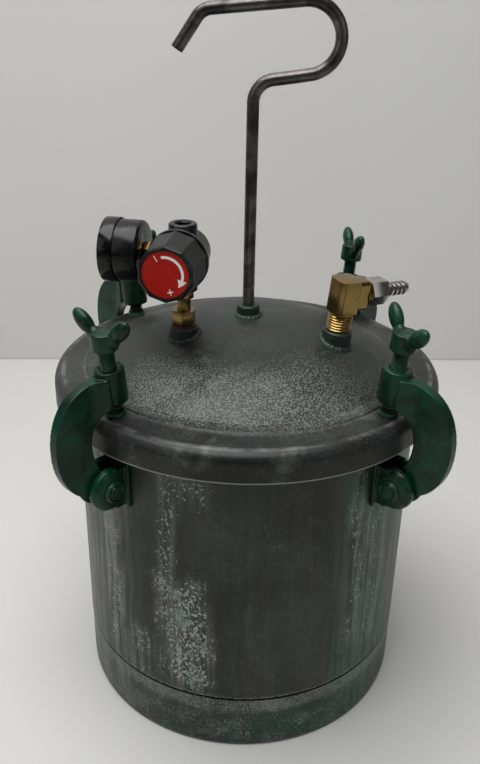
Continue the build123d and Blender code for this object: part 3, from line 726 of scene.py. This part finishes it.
def makeDial():
    # ticks every 5 and numbers every 20, over the whole sweep
    dial = dialShape
    face, steps, sweep = dial["front"] - dial["sunk"], dial["ticks"], dial["sweep"]
    bm = bmesh.new()
    for tick in range(steps + 1):
        turn = sweep / 2 - tick * sweep / steps
        long, wide = dial["minor"] if tick % 4 else dial["major"]
        where = Matrix.Rotation(math.radians(turn), 4, "Z")
        block(bm, (dial["radius"] - long, -wide / 2, face), (dial["radius"], wide / 2, face + 0.08), where)
    makePiece("dial_ticks", bm, gaugeFrame, "lid", "pointer_paint")
    for tick in range(0, steps + 1, 4):
        turn = math.radians(sweep / 2 - tick * sweep / steps)
        curve = bpy.data.curves.new("number", "FONT")
        curve.body = str(tick * dial["top"] // steps)
        curve.size = dial["size"]
        curve.align_x, curve.align_y = "CENTER", "CENTER"
        curve.extrude = 0.04
        text = bpy.data.objects.new("number", curve)
        bpy.context.scene.collection.objects.link(text)
        bm = bmesh.new()
        bm.from_mesh(evaluated(text))
        bpy.data.objects.remove(text)
        # numerals stand upright: their own up is local x
        spot = Vector((math.cos(turn), math.sin(turn), 0)) * dial["numbers"]
        lay = Matrix.Translation((spot.x, spot.y, face + 0.05)) @ Matrix.Rotation(math.radians(-90), 4, "Z")
        makePiece("dial_number_" + curve.body, bm, gaugeFrame @ lay, "lid", "pointer_paint")


makeDial()
print("regulator made")


# outlet elbow, collar and hose barb

elbowShape = {"lean": 6, "leanTo": 60, "runHigh": 0.0348, "mountAt": 0.050}  # degrees, azimuth, metres
run = Vector(mounts["hose_barb"]["axis"])
runStart = Vector(mounts["hose_barb"]["pos_m"]) - run * elbowShape["mountAt"]
lean, leanTo = math.radians(elbowShape["lean"]), math.radians(elbowShape["leanTo"])
outletUp = Vector((math.sin(leanTo) * math.sin(lean), -math.cos(leanTo) * math.sin(lean), math.cos(lean)))
runFrame = axisFrame(runStart, run, outletUp)
outletFrame = axisFrame(runStart - outletUp * elbowShape["runHigh"], outletUp, run)

softened("outlet_elbow", "lid", 1.0, segments=3)
barbShape = {"hexLow": 18.7, "hexHigh": 32.7, "flats": 8.4, "end": 53.2, "root": 3.9, "ridge": 4.9, "ridges": 5}


def makeOutlet():
    bm = bmesh.new()
    prism(bm, 48, 7.7, 9.4, 23.2)
    thread(bm, 8.5, 0.9, 1.9, 9.0, 23.4, 48)
    makePiece("elbow_thread", bm, outletFrame, "lid", "brass", angle=35)
    bm = bmesh.new()
    prism(bm, 48, 7.3, 15.05, 18.7)
    for low in (15.1, 16.9):
        turned(bm, [(7.0, low), (8.5, low + 0.5), (8.5, low + 1.1), (7.0, low + 1.6)], 64, closed=True)
    makePiece("collar_thread", bm, runFrame, "lid", "brass", ("outlet_collar",), angle=35)

    barb = barbShape
    bm = bmesh.new()
    corner = barb["flats"] / math.cos(math.radians(30))
    prism(bm, 6, corner, barb["hexLow"], barb["hexHigh"])
    tidy(bm)
    bevelSharp(bm, 0.8, 2, 30, lambda edge: abs(edge.verts[0].co.z - edge.verts[1].co.z) < 0.01)
    profile = [(0, barb["hexHigh"] - 1), (barb["root"], barb["hexHigh"] - 1)]
    pitch = (barb["end"] - barb["hexHigh"] - 0.8) / barb["ridges"]
    for ridge in range(barb["ridges"]):
        z = barb["hexHigh"] + 0.8 + ridge * pitch
        profile += [(barb["root"], z), (barb["ridge"], z + pitch * 0.12), (barb["ridge"], z + pitch * 0.3),
                    (barb["root"] + 0.1, z + pitch * 0.97)]
    profile += [(2.5, barb["end"]), (2.5, barb["end"] - 8), (0, barb["end"] - 8)]
    turned(bm, profile, 64)
    makePiece("barb_fitting", bm, runFrame, "lid", "nickel", ("hose_barb",), angle=32)


makeOutlet()
print("outlet made")


# welds round the bungs

def bead(name, where, radius, width, count, seed):
    # a weld bead on a ring, its height uneven as a hand weld is
    bm = bmesh.new()
    turned(bm, [(radius - width, -1.5), (radius - width, 0.6), (radius - width * 0.5, 1.5), (radius, 1.5),
                (radius + width * 0.6, 0.7), (radius + width, -0.4), (radius + width, -1.5)], 128, closed=True)
    for vert in bm.verts:
        around = math.atan2(vert.co.y, vert.co.x)
        wave = math.sin(around * count + seed) * 0.5 + math.sin(around * count * 0.37 + seed * 2) * 0.3
        lift = max(vert.co.z, 0) / 1.5
        vert.co.z += wave * 0.5 * lift
        vert.co.xy = vert.co.xy * (1 + wave * 0.02 * lift)
    makePiece(name, bm, where, "lid", "lid_paint", angle=180)


domeShape = {"rim": 107.5, "rise": 30.5, "top": 287.0}  # radius, height over the rim, height over the floor
domeRadius = (domeShape["rim"] ** 2 + domeShape["rise"] ** 2) / (2 * domeShape["rise"])
# radius, then the number and phase of the bead's waves
bungs = {"hook_bung": (8.0, 21, 1.0), "regulator_bung": (10.0, 27, 2.0), "outlet_bung": (10.0, 25, 3.0)}
for node, (radius, count, seed) in bungs.items():
    low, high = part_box(node)
    centre = Vector(((low[0] + high[0]) / 2, (low[1] + high[1]) / 2, 0))
    away = centre.length / mm
    rise = math.sqrt(domeRadius ** 2 - away ** 2)
    tilt = Vector((centre.x / mm, centre.y / mm, rise))
    centre.z = (domeShape["top"] - (domeRadius - rise)) * mm
    bead(node + "_weld", axisFrame(centre, tilt, (1, 0, 0) if away < 1 else centre.cross(tilt)),
         radius + 0.6, 2.0, count, seed)
print("welds made")


# camera, floor and light

view = {"eye": (-0.0286, -0.5460, 0.4965), "pitch": 25.7, "yaw": 2.5, "roll": 1.14, "lens": 38.9}
stageSize = {"wallY": 0.56, "half": 4.0, "height": 3.0}
# place, target, size, power, colour
lamps = {"overhead": ((-0.3, -0.2, 1.9), (0, 0, 0.2), (1.8, 1.4), 48, (1, 1, 1)),
         "side": ((-1.5, -1.0, 1.1), (0, 0, 0.2), (1.0, 1.4), 4, (1.0, 0.98, 0.95)),
         "fill": ((1.4, -1.3, 1.0), (0, 0, 0.15), (1.2, 1.2), 3, (0.95, 0.98, 1.0))}
studio = {"Color": (0.80, 0.82, 0.84, 1), "Strength": 0.08}


def makeCamera():
    camera = bpy.data.objects.new("camera", bpy.data.cameras.new("camera"))
    bpy.context.scene.collection.objects.link(camera)
    camera.data.lens = view["lens"]
    camera.data.sensor_width = 36
    look = (Matrix.Rotation(math.radians(-view["yaw"]), 4, "Z")
            @ Matrix.Rotation(math.radians(90 - view["pitch"]), 4, "X")
            @ Matrix.Rotation(math.radians(view["roll"]), 4, "Z"))
    camera.matrix_world = Matrix.Translation(view["eye"]) @ look
    camera.data.clip_start = 0.01
    bpy.context.scene.camera = camera


def makeStage():
    bm = bmesh.new()
    half, wall = stageSize["half"], stageSize["wallY"]
    edge = [bm.verts.new((-half, -half, 0)), bm.verts.new((half, -half, 0))]
    line = [bm.edges.new(edge)]
    for step in ((0, half + wall, 0), (0, 0, stageSize["height"])):
        grown = bmesh.ops.extrude_edge_only(bm, edges=line)["geom"]
        line = [part for part in grown if isinstance(part, bmesh.types.BMEdge)]
        corners = [part for part in grown if isinstance(part, bmesh.types.BMVert)]
        bmesh.ops.translate(bm, vec=step, verts=corners)
    bmesh.ops.recalc_face_normals(bm, faces=bm.faces)
    mesh = bpy.data.meshes.new("floor")
    bm.to_mesh(mesh)
    bm.free()
    floor = bpy.data.objects.new("floor", mesh)
    bpy.context.scene.collection.objects.link(floor)
    graph = Graph("floor")
    soft = graph.noise(3, 3)
    height = graph.axes()[2]
    floorTone = graph.blend(soft, (0.50, 0.495, 0.475), (0.56, 0.555, 0.535))
    wallTone = graph.blend(soft, (0.60, 0.595, 0.58), (0.66, 0.655, 0.64))
    colour = graph.blend(graph.smooth(height, 0.001, 0.004), floorTone, wallTone)
    mesh.materials.append(graph.finish(Base_Color=colour, Roughness=0.55 + soft * 0.1))


def makeLight(name, place, target, size, power, colour):
    light = bpy.data.objects.new(name, bpy.data.lights.new(name, "AREA"))
    light.data.shape = "RECTANGLE"
    light.data.size, light.data.size_y = size
    light.data.energy = power
    light.data.color = colour
    aim = (Vector(target) - Vector(place)).to_track_quat("-Z", "Y").to_matrix().to_4x4()
    light.matrix_world = Matrix.Translation(place) @ aim
    bpy.context.scene.collection.objects.link(light)


makeCamera()
makeStage()
for name, lamp in lamps.items():
    makeLight(name, *lamp)
world = bpy.data.worlds.new("studio")
world.use_nodes = True
for socket, setting in studio.items():
    world.node_tree.nodes["Background"].inputs[socket].default_value = setting
bpy.context.scene.world = world
bpy.context.scene.view_settings.view_transform = "Standard"
print("camera and light ready")
